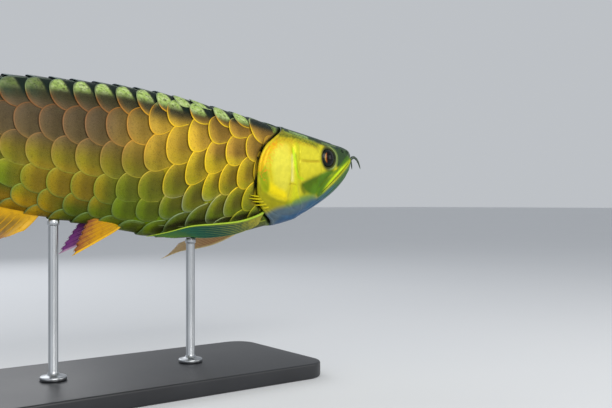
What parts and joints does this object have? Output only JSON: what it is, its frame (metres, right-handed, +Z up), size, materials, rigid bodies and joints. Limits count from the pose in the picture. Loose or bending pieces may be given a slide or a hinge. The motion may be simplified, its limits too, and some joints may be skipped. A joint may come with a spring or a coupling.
{
  "type": "asian arowana model on a display stand",
  "caption": "Life-size still model of an Asian arowana, swimming level, with large raised scales, rayed fins and chin barbels, held by rods on a flat base.",
  "frame": {"origin": "middle of the underside of the stand's base", "axes": "+X along the fish towards its head, +Y to the fish's left side, +Z up"},
  "size_m": [0.5977, 0.1634, 0.2813],
  "materials": {
    "head": "wet satin skin over bone, yellow-green",
    "gill_cover": "glossy metallic yellow bony plate",
    "eye": "glossy black with an orange-gold ring",
    "barbel": "dark soft skin",
    "scales": "glossy metallic olive-gold scales",
    "median_fin": "moist orange-brown fin skin with a purple edge",
    "paired_fin": "moist olive-yellow fin skin",
    "stand_base": "satin black lacquer",
    "stand_rod": "brushed"
  },
  "bodies": {
    "root": {"head": "head", "lower_jaw": "head", "gill_cover_left": "gill_cover", "gill_cover_right": "gill_cover", "eye_left": "eye", "eye_right": "eye", "barbel_left": "barbel", "barbel_right": "barbel", "trunk": "scales", "tail": "scales", "dorsal_fin": "median_fin", "anal_fin": "median_fin", "caudal_fin": "median_fin", "pectoral_fin_left": "paired_fin", "pectoral_fin_right": "paired_fin", "pelvic_fin_left": "paired_fin", "pelvic_fin_right": "paired_fin", "stand_base": "stand_base", "stand_rod_front": "stand_rod", "stand_rod_rear": "stand_rod"}
  },
  "joints": []
}
